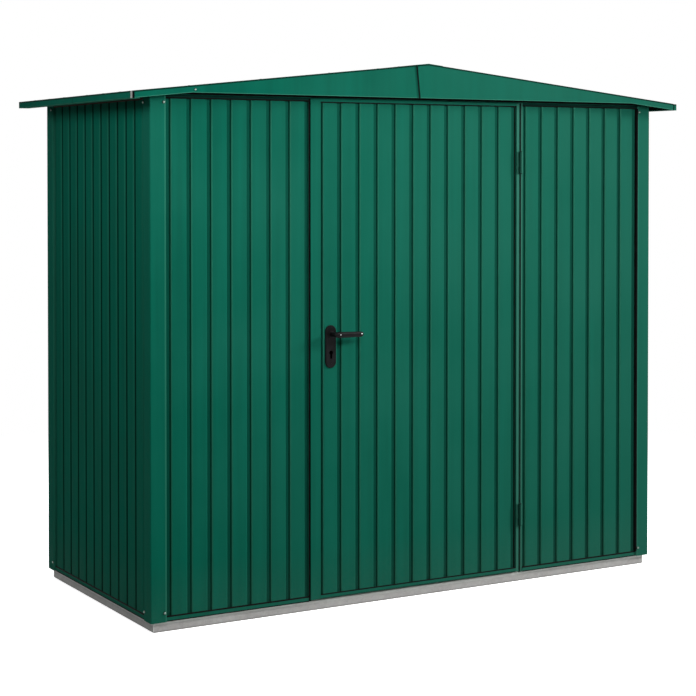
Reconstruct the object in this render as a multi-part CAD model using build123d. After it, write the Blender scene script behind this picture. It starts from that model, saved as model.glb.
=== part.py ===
from build123d import *
import os
from math import acos, cos, hypot, radians, sin, sqrt, tan

# Metal storage shed. X runs along the front, the front faces -Y, Z is up.
# The origin is on the ground, at the centre of the footprint. All sizes are in millimetres.

# Overall form
width = 2380.0  # over the faces of the corner posts, along the front
depth = 1080.0  # over the faces of the corner posts, front to back
wall_top = 2016.0  # top of the posts above the ground
roof_pitch = 6.05  # degrees, falling to both sides of a ridge that runs front to back
side_overhang = 102.0  # roof past the posts at the two eaves
end_overhang = 60.0  # roof past the posts at the front and back gables
eave_rise = 8.0  # upper edge of the eaves above the wall top
fascia_height = 27.0  # band round the edge of the roof
gable_lift = 7.5  # straight lower edge of the gable sheets above the wall top

# Sheet thicknesses, bends and clearances
wall_sheet = 1.0
frame_sheet = 1.5
trim_sheet = 1.2
base_sheet = 2.0
bend_radius = 2.0  # inside radius of the ribs
fold_radius = 1.2  # inside radius of rails, posts and trims
seat_gap = 0.3  # between pieces that are screwed or riveted together
running_gap = 0.1  # round a turning neck, pin or spindle
swing_gap = 6.0  # least space round the door leaf

# Galvanised base frame
base_height = 40.0
base_inset = 17.0  # its web behind the faces of the posts
base_ledge = 20.0  # upper flange, which carries the walls
base_foot = 45.0  # lower flange, bolted to the ground
anchor_hole = 11.0  # diameter
anchor_from_web = 33.0
anchor_from_corner = 140.0  # from the post's face, along the front and the back

# Corner posts and wall rails
post_flange = 66.0
post_return = 36.0  # fold that runs inwards beside the wall sheet
rail_recess = 6.0  # rails behind the faces of the posts
rail_width = 30.0
bottom_lip = 16.0
top_lip = 9.0

# Ribbed sheet
rib_pitch = 84.5
groove_width = 23.5  # between two crests, at the outer face
rib_depth = 9.5
flank = 5.0  # width of each sloping side of a groove
post_margin = 25.0  # first crest from the post at the front corners
back_margin = 16.5  # first crest from the post at the back corners
jamb_margin = 18.0  # first crest from the door jamb
lap_land = 1.5  # plain strip left beside a lap
cover_width = 760.0  # of one sheet of the back wall

# Doorway and door leaf
doorway = 1000.0
jamb_width = 14.0
jamb_depth = 38.0
jamb_recess = 8.0
latch_lap = 8.0  # leaf over the jamb on the latch side
hinge_gap = 10.5  # leaf to jamb on the hinge side
leaf_foot = 6.0  # leaf above the base frame
leaf_head = 2.0  # leaf below the wall top
leaf_depth = 30.0
latch_stile = 44.0
hinge_stile = 13.0
top_rail = 11.0
bottom_rail = 14.0
back_flange = 30.0  # inner flanges of the leaf's rails
leaf_margin_latch = 14.0
leaf_margin_hinge = 26.5
panel_tuck = 9.0  # ribbed sheet behind the stiles
header_height = 31.0

# Lever set and lock
handle_inset = 88.0  # lever and key hole from the leaf's free edge
lever_z = 1089.0
plate_width = 48.0
plate_height = 168.0
plate_above_lever = 35.0
plate_thickness = 8.0
plate_edge = 3.0
neck_radius = 9.0
lever_reach = 43.5  # grip's middle in front of the plate
grip_length = 127.0
grip_root = 12.0  # radius at the neck
grip_tip = 10.0  # radius at the free end
grip_thickness = 12.0
grip_edge = 3.5
spindle = 8.0  # square
spindle_in_lever = 25.0
key_below_lever = 73.0  # centre of the key hole's round part
key_radius = 8.5
key_slot = 10.0
key_drop = 19.5
lock_height = 190.0
lock_length = 107.0
lock_above_lever = 37.0
lock_window = 3.0  # opening in the ribbed sheet round the key hole and spindle

# Hinges
hinge_heights = (287.0, 1767.0)
hinge_height = 90.0
knuckle_radius = 8.0
pin_radius = 3.0
hinge_plate = 3.0
hinge_leaf_width = 5.0
hinge_stand = 11.0  # pin in front of the leaf's face

# Roof
rafter_width = 30.0  # folded edge of the gable panels
ridge_cap = 68.0  # half width
ridge_joint = 4.0  # each roof sheet from the ridge line
verge_flange = 30.0
verge_return = 12.0
verge_lap = 52.0  # right gable sheet past the ridge
trim_step = 4.0  # left gable sheet behind the right one
corner_tab = 12.0  # end of the eave trim, folded round onto the gable
corner_gap = 6.0  # from that tab to the gable sheet
eave_return = 40.0
beam_half = 25.0
beam_height = 40.0

# Places that follow from these sizes
half_width = width / 2
half_depth = depth / 2
clear_front = half_width - post_flange
clear_side = half_depth - post_flange
crest_level = rail_recess + frame_sheet + seat_gap
groove_level = crest_level + rib_depth
sheet_foot = base_height + frame_sheet + fold_radius
sheet_head = wall_top - frame_sheet - fold_radius
eave_x = half_width + side_overhang
gable_y = half_depth + end_overhang
eave_z = wall_top + eave_rise
pitch = radians(roof_pitch)
rib_top = trim_sheet + seat_gap  # roof ribs below the outer plane of the roof
pan_top = rib_top + rib_depth
pan_under = pan_top + wall_sheet
half_door = doorway / 2
leaf_left = -half_door - latch_lap
leaf_right = half_door - hinge_gap
leaf_bottom = base_height + leaf_foot
leaf_top = wall_top - leaf_head
body_top = wall_top - swing_gap
body_left = -half_door + swing_gap
handle_x = leaf_left + handle_inset
key_z = lever_z - key_below_lever
stile_left = leaf_left + latch_stile
stile_right = leaf_right - hinge_stile
leaf_crest = trim_sheet + seat_gap
leaf_groove = leaf_crest + rib_depth
lock_front = leaf_groove + wall_sheet + seat_gap
lock_back = leaf_depth - trim_sheet - seat_gap
hinge_x = leaf_right + swing_gap + hinge_plate - knuckle_radius
ridge_z = eave_z + eave_x * tan(pitch)


def roof_z(x, below=0.0):
    """Height of the roof's outer plane at x, or of a plane that lies below it."""
    return ridge_z - abs(x) * tan(pitch) - below / cos(pitch)


def turn_of(before, here, after):
    first = (here[0] - before[0], here[1] - before[1])
    second = (after[0] - here[0], after[1] - here[1])
    return first[0] * second[1] - first[1] * second[0]


def moved_line(points, distance):
    """The same bent line, moved to its left by a distance, with its corners mitred."""
    normals = []
    for a, b in zip(points, points[1:]):
        length = hypot(b[0] - a[0], b[1] - a[1])
        normals.append(((a[1] - b[1]) / length, (b[0] - a[0]) / length))
    normals = [normals[0]] + normals + [normals[-1]]
    moved = []
    for (x, y), n, m in zip(points, normals, normals[1:]):
        share = distance / (1 + n[0] * m[0] + n[1] * m[1])
        moved.append((x + (n[0] + m[0]) * share, y + (n[1] + m[1]) * share))
    return moved


def pressed_line(points, radii):
    """A bent line whose corners are cut where arcs of these radii would begin and end."""
    line = [points[0]]
    for before, here, after, radius in zip(points, points[1:], points[2:], radii):
        back = (before[0] - here[0], before[1] - here[1])
        on = (after[0] - here[0], after[1] - here[1])
        cosine = (back[0] * on[0] + back[1] * on[1]) / (hypot(*back) * hypot(*on))
        cut = radius / tan(acos(cosine) / 2)
        for way in (back, on):
            share = cut / hypot(*way)
            line.append((here[0] + way[0] * share, here[1] + way[1] * share))
    line.append(points[-1])
    return Polyline(*line)


def folded(points, thickness, bend=fold_radius):
    """Section of a folded sheet along a bent line; a negative thickness lies on its right."""
    outer_radii = []
    inner_radii = []
    for before, here, after in zip(points, points[1:], points[2:]):
        inside = turn_of(before, here, after) * thickness > 0
        outer_radii.append(bend + abs(thickness) if inside else bend)
        inner_radii.append(bend if inside else bend + abs(thickness))
    outer = pressed_line(points, outer_radii)
    inner = pressed_line(moved_line(points, thickness), inner_radii)
    ends = [Line(outer @ 0, inner @ 0), Line(outer @ 1, inner @ 1)]
    edges = [*outer.edges(), *inner.edges(), ends[0].edge(), ends[1].edge()]
    return make_face(edges)


def rectangle(x0, x1, y0, y1):
    return Pos((x0 + x1) / 2, (y0 + y1) / 2) * Rectangle(x1 - x0, y1 - y0)


def block(x0, x1, y0, y1, z0, z1):
    return Pos((x0 + x1) / 2, (y0 + y1) / 2, (z0 + z1) / 2) * Box(x1 - x0, y1 - y0, z1 - z0)


def upright(section, bottom, top):
    return Pos(0, 0, bottom) * extrude(section, top - bottom, dir=(0, 0, 1))


def along_wall(section, start, end):
    """Bar along a wall, from a section drawn as depth and height."""
    return Pos(start, 0, 0) * extrude(Plane.YZ * section, end - start, dir=(1, 0, 0))


def across_roof(section, start, end):
    """Bar from front to back, from a section drawn as width and height."""
    return Pos(0, start, 0) * extrude(Plane.XZ * section, end - start, dir=(0, 1, 0))


def on_front(piece):
    return Pos(0, -half_depth, 0) * piece


def on_right(piece):
    return Rot(0, 0, 90) * Pos(0, -half_width, 0) * piece


def on_back(piece):
    return Rot(0, 0, 180) * Pos(0, -half_depth, 0) * piece


def on_left(piece):
    return Rot(0, 0, -90) * Pos(0, -half_width, 0) * piece


def rib_layout(start, end, lead, trail):
    """Left edges of the crests between two margins, and the width of one crest."""
    run = end - start - lead - trail + groove_width
    count = max(1, round(run / rib_pitch))
    step = run / count
    return [start + lead + i * step for i in range(count)], step - groove_width


def ribbed(lefts, crest, high, low, head, tail, thickness):
    """Section of ribbed sheet from its head to its tail, each a place along it and a level."""
    points = [head]
    for i, left in enumerate(lefts):
        into = head[1] if i == 0 else low
        out = tail[1] if i == len(lefts) - 1 else low
        points += [(left - flank, into), (left, high)]
        points += [(left + crest, high), (left + crest + flank, out)]
    points.append(tail)
    return folded(points, thickness, bend_radius)


def wall_panel(start, end, lead, trail):
    """Ribbed wall sheet that stands in its bottom rail and ends inside its top rail."""
    lefts, crest = rib_layout(start, end, lead, trail)
    head = (start + seat_gap, groove_level)
    tail = (end - seat_gap, groove_level)
    section = ribbed(lefts, crest, crest_level, groove_level, head, tail, wall_sheet)
    return upright(section, sheet_foot, sheet_head)


def lapped_panels(start, end, lead, trail, count):
    """Wall of several ribbed sheets, each lapped behind the one before it in a groove."""
    lefts, crest = rib_layout(start, end, lead, trail)
    tucked = groove_level + wall_sheet + seat_gap
    panels = []
    for k in range(count):
        first = round(k * len(lefts) / count)
        last = round((k + 1) * len(lefts) / count)
        head = (start + seat_gap, groove_level)
        tail = (end - seat_gap, groove_level)
        if k > 0:
            head = (lefts[first - 1] + crest + flank + lap_land, tucked)
        if k < count - 1:
            tail = (lefts[last] - flank - lap_land, groove_level)
        section = ribbed(lefts[first:last], crest, crest_level, groove_level, head, tail, wall_sheet)
        panels.append(upright(section, sheet_foot, sheet_head))
    return panels


def base_member(half_length, holes):
    """Folded channel of the base frame, mitred at both corners."""
    path = [
        (base_inset + base_ledge, base_height),
        (base_inset, base_height),
        (base_inset, 0),
        (base_inset + base_foot, 0),
    ]
    half = half_length - base_inset
    member = along_wall(folded(path, base_sheet), -half, half)
    mitre = half - seat_gap / 2
    outline = Polyline(
        (-mitre, base_inset),
        (mitre, base_inset),
        (mitre - base_foot, base_inset + base_foot),
        (-mitre + base_foot, base_inset + base_foot),
        close=True,
    )
    member &= extrude(make_face(outline), base_height, dir=(0, 0, 1))
    for x in holes:
        bore = Cylinder(anchor_hole / 2, base_sheet * 3)
        member -= Pos(x, base_inset + anchor_from_web, base_sheet / 2) * bore
    return member


def post():
    path = [
        (post_flange, post_return),
        (post_flange, 0),
        (0, 0),
        (0, post_flange),
        (post_return, post_flange),
    ]
    return upright(folded(path, -frame_sheet), base_height, wall_top)


def bottom_wall_rail(start, end):
    inner = rail_recess + rail_width
    path = [
        (rail_recess, base_height + bottom_lip),
        (rail_recess, base_height),
        (inner, base_height),
        (inner, base_height + bottom_lip),
    ]
    return along_wall(folded(path, frame_sheet), start + seat_gap, end - seat_gap)


def top_wall_rail(start, end):
    inner = rail_recess + rail_width
    path = [
        (rail_recess, wall_top - top_lip),
        (rail_recess, wall_top),
        (inner, wall_top),
        (inner, wall_top - top_lip),
    ]
    return along_wall(folded(path, -frame_sheet), start + seat_gap, end - seat_gap)


def eave_wall_rail(start, end):
    """Top rail of a side wall, with its upper face sloped to carry the roof sheet."""
    inner = rail_recess + rail_width
    path = [
        (rail_recess, wall_top - top_lip),
        (rail_recess, roof_z(half_width - rail_recess, pan_under)),
        (inner, roof_z(half_width - inner, pan_under)),
        (inner, wall_top - top_lip),
    ]
    return along_wall(folded(path, -frame_sheet), start + seat_gap, end - seat_gap)


def tube_section(x0, x1, y0, y1):
    outer = chamfer(rectangle(x0, x1, y0, y1).vertices(), frame_sheet)
    return outer - rectangle(x0 + frame_sheet, x1 - frame_sheet, y0 + frame_sheet, y1 - frame_sheet)


def jamb(side):
    inner = half_door
    outer = half_door + jamb_width
    section = tube_section(inner, outer, jamb_recess, jamb_recess + jamb_depth)
    bar = upright(section, base_height, wall_top)
    return bar if side > 0 else mirror(bar, Plane.YZ)


def door_header():
    """Tube across the head of the doorway, behind the leaf, where it is also the stop."""
    front = leaf_depth + swing_gap
    back = jamb_recess + jamb_depth
    section = tube_section(front, back, wall_top - header_height, wall_top)
    return along_wall(section, -half_door + seat_gap, half_door - seat_gap)


def gable_panel():
    """Flat triangle above the wall, folded inwards all round to carry the roof sheets."""
    reach = half_width - jamb_recess
    corners = [
        (-reach, wall_top),
        (reach, wall_top),
        (reach, roof_z(reach, pan_under)),
        (0, roof_z(0, pan_under)),
        (-reach, roof_z(reach, pan_under)),
    ]
    low = wall_top + frame_sheet
    side = reach - frame_sheet
    pocket = [
        (-side, low),
        (side, low),
        (side, roof_z(side, pan_under + frame_sheet)),
        (0, roof_z(0, pan_under + frame_sheet)),
        (-side, roof_z(side, pan_under + frame_sheet)),
    ]
    back = jamb_recess + rafter_width
    tray = across_roof(make_face(Polyline(*corners, close=True)), jamb_recess, back)
    return tray - across_roof(make_face(Polyline(*pocket, close=True)), jamb_recess + frame_sheet, back)


def roof_panel():
    """Right-hand roof sheet, its ribs running down the slope from the ridge to the eave."""
    reach = gable_y - trim_step - trim_sheet - seat_gap
    edge = groove_width + flank
    lefts, crest = rib_layout(-reach, reach, edge, edge)
    section = ribbed(lefts, crest, -pan_top, -rib_top, (-reach, -rib_top), (reach, -rib_top), -wall_sheet)
    down = (cos(pitch), 0, -sin(pitch))
    plane = Plane(origin=(0, 0, ridge_z), x_dir=(0, 1, 0), z_dir=down)
    run = (eave_x - trim_sheet - fold_radius) / cos(pitch) - ridge_joint
    start = plane.offset(ridge_joint)
    return extrude(start * section, run, dir=down)


def eave_trim():
    """Right-hand eave: a flange over the roof sheet, the fascia and a return below it."""
    path = [
        (eave_x - verge_flange, roof_z(eave_x - verge_flange)),
        (eave_x, eave_z),
        (eave_x, eave_z - fascia_height),
        (eave_x - eave_return, eave_z - fascia_height),
    ]
    reach = gable_y - trim_step - trim_sheet - seat_gap
    low = eave_z - fascia_height
    tab = block(eave_x - trim_sheet, eave_x, -gable_y, -reach, low, eave_z)
    tab += block(eave_x - corner_tab, eave_x, -gable_y, -gable_y + trim_sheet, low, eave_z)
    return across_roof(folded(path, -trim_sheet), -reach, reach) + tab + mirror(tab, Plane.XZ)


def verge_outline(start, start_foot):
    """Face of a gable sheet from a start near the ridge to the right-hand eave."""
    low = wall_top + gable_lift
    fascia_low = eave_z - fascia_height
    knee = eave_x - (low - fascia_low) / tan(pitch)
    end = eave_x - corner_tab - corner_gap
    corners = [(start, roof_z(start)), (0, ridge_z), (end, roof_z(end))]
    if start == 0:
        corners = corners[1:]
    corners += [(end, roof_z(end) - fascia_height), (knee, low), (start_foot, low)]
    return make_face(Polyline(*corners, close=True)), knee


def verge(face_y, lap):
    """Right-hand gable sheet with its flange on the roof and a return along its lower edge."""
    low = wall_top + gable_lift
    foot = -lap + (roof_z(lap) - low) * tan(pitch) if lap else 0.0
    outline, knee = verge_outline(-lap, foot)
    sheet = across_roof(outline, face_y, face_y + trim_sheet)
    end = eave_x - verge_flange - seat_gap
    flange = [(0, ridge_z), (end, roof_z(end)), (end, roof_z(end, trim_sheet)), (0, roof_z(0, trim_sheet))]
    sheet += across_roof(make_face(Polyline(*flange, close=True)), face_y, face_y + verge_flange)
    start = seat_gap if lap else 0.0
    sheet += block(start, knee, face_y, face_y + verge_return, low, low + trim_sheet)
    return sheet


def ridge_cap_piece():
    path = [(-ridge_cap, roof_z(ridge_cap)), (0, ridge_z), (ridge_cap, roof_z(ridge_cap))]
    return across_roof(folded(path, trim_sheet), -gable_y, gable_y)


def ridge_beam():
    low = roof_z(0, pan_under) - beam_height
    shoulder = roof_z(beam_half, pan_under)
    path = [
        (-beam_half, low),
        (-beam_half, shoulder),
        (0, roof_z(0, pan_under)),
        (beam_half, shoulder),
        (beam_half, low),
    ]
    reach = half_depth - jamb_recess - rafter_width - seat_gap
    return across_roof(folded(path, -frame_sheet), -reach, reach)


def key_hole():
    """Outline of the lock's key hole: a round part above a narrower slot."""
    slot_half = key_slot / 2
    outline = Circle(key_radius) + rectangle(-slot_half, slot_half, -key_drop, 0)
    return outline + Pos(0, -key_drop) * Circle(slot_half)


def through_door(outline, x, z, front, back):
    """Cutter through the leaf at x and z, from an outline drawn as seen from outside."""
    return Pos(x, front, z) * extrude(Plane.XZ * outline, back - front, dir=(0, 1, 0))


def door_panel():
    start = stile_left - panel_tuck
    end = stile_right + panel_tuck
    lead = panel_tuck + leaf_margin_latch
    trail = panel_tuck + leaf_margin_hinge
    lefts, crest = rib_layout(start, end, lead, trail)
    section = ribbed(lefts, crest, leaf_crest, leaf_groove, (start, leaf_groove), (end, leaf_groove), wall_sheet)
    inside = trim_sheet + fold_radius
    panel = upright(section, leaf_bottom + inside, body_top - inside)
    half = key_radius + lock_window
    low = key_z - key_drop - key_slot / 2 - lock_window
    return panel - block(handle_x - half, handle_x + half, 0, leaf_depth, low, lever_z + half)


def door_stile(inner, body, lip):
    """Upright of the leaf: a channel behind a face that laps the frame."""
    path = [(inner, 0), (body, 0), (body, leaf_depth), (inner, leaf_depth)]
    thickness = -trim_sheet if body < inner else trim_sheet
    channel = upright(folded(path, thickness), leaf_bottom, body_top)
    face = upright(rectangle(min(inner, lip), max(inner, lip), 0, trim_sheet), leaf_bottom, leaf_top)
    stile = channel + face
    if lip != body:
        hem = rectangle(min(lip, body + trim_sheet), max(lip, body + trim_sheet), 0, 2 * trim_sheet)
        stile += upright(hem, leaf_bottom, leaf_top)
    return stile


def door_top_rail():
    low = leaf_top - top_rail
    path = [(0, low), (0, body_top), (leaf_depth, body_top), (leaf_depth, body_top - back_flange)]
    start = stile_left + seat_gap
    end = stile_right - seat_gap
    rail = along_wall(folded(path, -trim_sheet), start, end)
    return rail + block(start, end, 0, trim_sheet, low, leaf_top)


def door_bottom_rail():
    path = [
        (0, leaf_bottom + bottom_rail),
        (0, leaf_bottom),
        (leaf_depth, leaf_bottom),
        (leaf_depth, leaf_bottom + back_flange),
    ]
    return along_wall(folded(path, trim_sheet), stile_left + seat_gap, stile_right - seat_gap)


def lock_case():
    start = body_left + trim_sheet + fold_radius
    top = lever_z + lock_above_lever
    case = block(start, start + lock_length, lock_front, lock_back, top - lock_height, top)
    follower = Circle(spindle / sqrt(2) + seat_gap)
    case -= through_door(follower, handle_x, lever_z, 0, leaf_depth)
    case -= through_door(key_hole(), handle_x, key_z, 0, leaf_depth)
    return case


def handle_plate(seat, outwards):
    """Long plate of the lever set, rounded at both ends and bevelled along its front edge."""
    middle = lever_z + plate_above_lever - plate_height / 2
    outline = Pos(handle_x, 0, middle) * (Plane.XZ * SlotOverall(plate_height, plate_width, 90))
    plate = Pos(0, seat, 0) * extrude(outline, plate_thickness, dir=(0, outwards, 0))
    rim = plate.faces().sort_by(Axis.Y)[0 if outwards < 0 else -1]
    plate = chamfer(rim.edges(), plate_edge)
    front = min(seat, seat + outwards * plate_thickness)
    back = front + plate_thickness
    plate -= through_door(Circle(neck_radius + running_gap), handle_x, lever_z, front, back)
    plate -= through_door(key_hole(), handle_x, key_z, front, back)
    return plate


def lever(seat, outwards):
    """Lever grip and its round neck, with the neck turning in the plate at the seat."""
    middle = seat + outwards * (plate_thickness + lever_reach)
    tip = grip_length - grip_tip
    rounds = Circle(grip_root).edges() + (Pos(tip, 0) * Circle(grip_tip)).edges()
    outline = Pos(handle_x, middle - grip_thickness / 2, lever_z) * (Plane.XZ * make_hull(rounds))
    grip = extrude(outline, grip_thickness, dir=(0, 1, 0))
    rims = grip.faces().filter_by(Axis.Y)
    grip = chamfer([edge for rim in rims for edge in rim.edges()], grip_edge)
    start = seat + outwards * seat_gap
    neck = through_door(Circle(neck_radius), handle_x, lever_z, min(start, middle), max(start, middle))
    return grip + neck


def hinge_knuckle(z0, z1, bore):
    ring = Circle(knuckle_radius)
    if bore:
        ring -= Circle(pin_radius + running_gap / 2)
    return upright(Pos(hinge_x, -hinge_stand) * ring, z0, z1)


def frame_hinge(z):
    """Fixed half of a hinge: its cranked plate on the jamb, two knuckles and the pin."""
    low = z - hinge_height / 2
    third = hinge_height / 3
    link_left = hinge_x + knuckle_radius - hinge_plate
    link_right = hinge_x + knuckle_radius
    plate_right = half_door + jamb_width - frame_sheet
    hinge = block(link_left, plate_right, jamb_recess - hinge_plate, jamb_recess, low, low + hinge_height)
    for start in (low, low + 2 * third):
        hinge += hinge_knuckle(start, start + third, False)
        hinge += block(link_left, link_right, -hinge_stand, jamb_recess, start, start + third)
    return hinge + upright(Pos(hinge_x, -hinge_stand) * Circle(pin_radius), low, low + hinge_height)


def leaf_hinge(z):
    """Moving half of a hinge: its plate on the leaf and the middle knuckle."""
    third = hinge_height / 3
    low = z - third / 2 + seat_gap
    high = z + third / 2 - seat_gap
    edge = hinge_x - knuckle_radius
    hinge = hinge_knuckle(low, high, True)
    hinge += block(edge, edge + hinge_plate, -hinge_stand, 0, low, high)
    hinge += block(edge - hinge_leaf_width, edge, -hinge_plate, 0, z - hinge_height / 2, z + hinge_height / 2)
    return hinge


nodes = {}

# Base frame
anchors = (anchor_from_corner - half_width, half_width - anchor_from_corner)
nodes["base_front"] = on_front(base_member(half_width, anchors))
nodes["base_back"] = on_back(base_member(half_width, anchors))
nodes["base_left"] = on_left(base_member(half_depth, ()))
nodes["base_right"] = on_right(base_member(half_depth, ()))

# Corner posts
nodes["post_front_left"] = Pos(-half_width, -half_depth, 0) * post()
nodes["post_front_right"] = Pos(half_width, -half_depth, 0) * Rot(0, 0, 90) * post()
nodes["post_back_right"] = Pos(half_width, half_depth, 0) * Rot(0, 0, 180) * post()
nodes["post_back_left"] = Pos(-half_width, half_depth, 0) * Rot(0, 0, -90) * post()

# Wall rails
jamb_outer = half_door + jamb_width
front_spans = ((-clear_front, -jamb_outer), (jamb_outer, clear_front))
nodes["front_bottom_rails"] = Part() + [on_front(bottom_wall_rail(*span)) for span in front_spans]
nodes["front_top_rails"] = Part() + [on_front(top_wall_rail(*span)) for span in front_spans]
nodes["back_bottom_rail"] = on_back(bottom_wall_rail(-clear_front, clear_front))
nodes["back_top_rail"] = on_back(top_wall_rail(-clear_front, clear_front))
side_rail = bottom_wall_rail(-clear_side, clear_side)
side_head = eave_wall_rail(-clear_side, clear_side)
nodes["side_bottom_rails"] = on_left(side_rail) + on_right(side_rail)
nodes["side_top_rails"] = on_left(side_head) + on_right(side_head)

# Walls
left_panel = wall_panel(-clear_front, -jamb_outer, post_margin, jamb_margin)
right_panel = wall_panel(jamb_outer, clear_front, jamb_margin, post_margin)
nodes["front_wall_left"] = on_front(left_panel)
nodes["front_wall_right"] = on_front(right_panel)
nodes["left_wall"] = on_left(wall_panel(-clear_side, clear_side, back_margin, post_margin))
nodes["right_wall"] = on_right(wall_panel(-clear_side, clear_side, post_margin, back_margin))
sheet_count = max(1, round(2 * clear_front / cover_width))
back_panels = lapped_panels(-clear_front, clear_front, back_margin, back_margin, sheet_count)
for number, panel in enumerate(back_panels, 1):
    nodes[f"back_wall_{number}"] = on_back(panel)

# Doorway
nodes["door_jambs"] = on_front(jamb(-1)) + on_front(jamb(1))
nodes["door_header"] = on_front(door_header())
nodes["frame_hinges"] = Part() + [on_front(frame_hinge(z)) for z in hinge_heights]

# Gables and roof
nodes["gable_panel_front"] = on_front(gable_panel())
nodes["gable_panel_back"] = on_back(gable_panel())
nodes["ridge_beam"] = ridge_beam()
nodes["roof_right"] = roof_panel()
nodes["roof_left"] = mirror(roof_panel(), Plane.YZ)
nodes["ridge_cap"] = ridge_cap_piece()
nodes["eave_trims"] = eave_trim() + mirror(eave_trim(), Plane.YZ)
proud_verge = verge(-gable_y, verge_lap)
plain_verge = mirror(verge(-gable_y + trim_step, 0.0), Plane.YZ)
nodes["front_verge_right"] = proud_verge
nodes["front_verge_left"] = plain_verge
nodes["back_verge_left"] = Rot(0, 0, 180) * proud_verge
nodes["back_verge_right"] = Rot(0, 0, 180) * plain_verge

# Door leaf
nodes["door_panel"] = on_front(door_panel())
nodes["door_stile_latch"] = on_front(door_stile(stile_left, body_left, leaf_left))
nodes["door_stile_hinge"] = on_front(door_stile(stile_right, leaf_right, leaf_right))
nodes["door_top_rail"] = on_front(door_top_rail())
nodes["door_bottom_rail"] = on_front(door_bottom_rail())
nodes["door_hinges"] = Part() + [on_front(leaf_hinge(z)) for z in hinge_heights]
nodes["lock_case"] = on_front(lock_case())
outer_plate = handle_plate(leaf_crest, -1)
inner_plate = handle_plate(lock_back, 1)
nodes["door_plates"] = on_front(outer_plate) + on_front(inner_plate)

# Levers on their square spindle
inner_end = lock_back + seat_gap
square = Rectangle(spindle, spindle)
bar = through_door(square, handle_x, lever_z, 0, inner_end + spindle_in_lever)
socket_square = Rectangle(spindle + 2 * running_gap, spindle + 2 * running_gap)
socket_depth = spindle_in_lever + seat_gap
socket = through_door(socket_square, handle_x, lever_z, inner_end, inner_end + socket_depth)
nodes["outer_lever"] = on_front(lever(leaf_crest, -1) + bar)
nodes["inner_lever"] = on_front(lever(lock_back, 1) - socket)

os.makedirs("parts", exist_ok=True)
for name, piece in nodes.items():
    export_step(piece, f"parts/{name}.step")
    print(name, len(piece.solids()), "solids", round(piece.volume / 1000), "cm3")
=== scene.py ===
import bpy
import bmesh
import math
from mathutils import Matrix, Vector


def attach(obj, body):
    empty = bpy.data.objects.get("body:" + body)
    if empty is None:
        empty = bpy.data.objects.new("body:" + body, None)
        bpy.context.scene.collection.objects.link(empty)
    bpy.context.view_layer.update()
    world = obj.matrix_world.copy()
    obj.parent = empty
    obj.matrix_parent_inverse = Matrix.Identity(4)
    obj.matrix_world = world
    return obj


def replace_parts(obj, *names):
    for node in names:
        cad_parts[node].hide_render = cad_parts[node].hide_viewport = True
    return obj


# Green metal storage shed: finishes, small hardware, light and camera. The front faces -Y, Z is up and the
# ground is z = 0. Blender works in metres; the settings are in millimetres unless they say otherwise.

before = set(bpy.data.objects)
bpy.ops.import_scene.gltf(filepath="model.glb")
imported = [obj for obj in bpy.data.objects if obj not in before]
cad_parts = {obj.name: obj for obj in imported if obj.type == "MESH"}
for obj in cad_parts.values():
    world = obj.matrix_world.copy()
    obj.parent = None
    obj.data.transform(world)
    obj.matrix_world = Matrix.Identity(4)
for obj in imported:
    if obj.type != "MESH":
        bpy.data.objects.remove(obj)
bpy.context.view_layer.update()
scene = bpy.context.scene
print("frame loaded:", len(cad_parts), "nodes")

millimetre = 0.001
front, back, left, right = (0, -1, 0), (0, 1, 0), (-1, 0, 0), (1, 0, 0)
frontFace, sideFace = 540.0, 1190.0  # outer faces of the corner posts, from the middle of the shed
tiny = 0.00001                       # metres; points nearer than this are one


# helpers for colours and nodes; a socket is (node, output)

def linear(hexColour):
    channels = [int(hexColour[i:i + 2], 16) / 255 for i in (1, 3, 5)]
    return [c / 12.92 if c <= 0.04045 else ((c + 0.055) / 1.055) ** 2.4 for c in channels] + [1.0]


def addNode(tree, kind, inputs=None, **settings):
    # an input is a plain value, or a socket to link
    node = tree.nodes.new(kind)
    for name, value in settings.items():
        setattr(node, name, value)
    for socket, value in (inputs or {}).items():
        if isinstance(value, tuple) and isinstance(value[0], bpy.types.Node):
            tree.links.new(value[0].outputs[value[1]], node.inputs[socket])
        else:
            node.inputs[socket].default_value = value
    return node


def maths(tree, operation, *values):
    return addNode(tree, "ShaderNodeMath", dict(enumerate(values)), operation=operation), 0


def vectorMaths(tree, operation, *values):
    node = addNode(tree, "ShaderNodeVectorMath", dict(enumerate(values)), operation=operation)
    return node, "Value" if operation in ("DOT_PRODUCT", "LENGTH") else 0


def splitVector(tree, socket):
    node = addNode(tree, "ShaderNodeSeparateXYZ", {0: socket})
    return [(node, axis) for axis in "XYZ"]


def between(tree, value, start, end, low=0.0, high=1.0):
    # goes from low to high while value goes from start to end
    return addNode(tree, "ShaderNodeMapRange", {"Value": value, "From Min": start, "From Max": end,
                   "To Min": low, "To Max": high}), 0


def noise(tree, vector, scale, detail=2.0, roughness=0.5):
    return addNode(tree, "ShaderNodeTexNoise", {"Vector": vector, "Scale": scale, "Detail": detail,
                   "Roughness": roughness}), 0


def mix(tree, factor, first, second):
    return addNode(tree, "ShaderNodeMix", {"Factor": factor, "A": first, "B": second}), "Result"


def tinted(tree, factor, colour, tint):
    # a colour goes towards a tint; the tint is hex or a socket
    return addNode(tree, "ShaderNodeMix", {"Factor": factor, "A": colour,
                   "B": linear(tint) if isinstance(tint, str) else tint}, data_type="RGBA"), "Result"


def ramp(tree, factor, tones):
    # tones: (place, colour in hex)
    node = addNode(tree, "ShaderNodeValToRGB", {"Fac": factor})
    elements = node.color_ramp.elements
    while len(elements) < len(tones):
        elements.new(0.5)
    for element, (place, colour) in zip(elements, tones):
        element.position = place
        element.color = linear(colour)
    return node, 0


def newMaterial(name):
    # gives the place on the object too; the same node gives the normal
    material = bpy.data.materials.new(name)
    material.use_nodes = True
    tree = material.node_tree
    tree.nodes.clear()
    return material, tree, (addNode(tree, "ShaderNodeTexCoord"), "Object")


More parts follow.
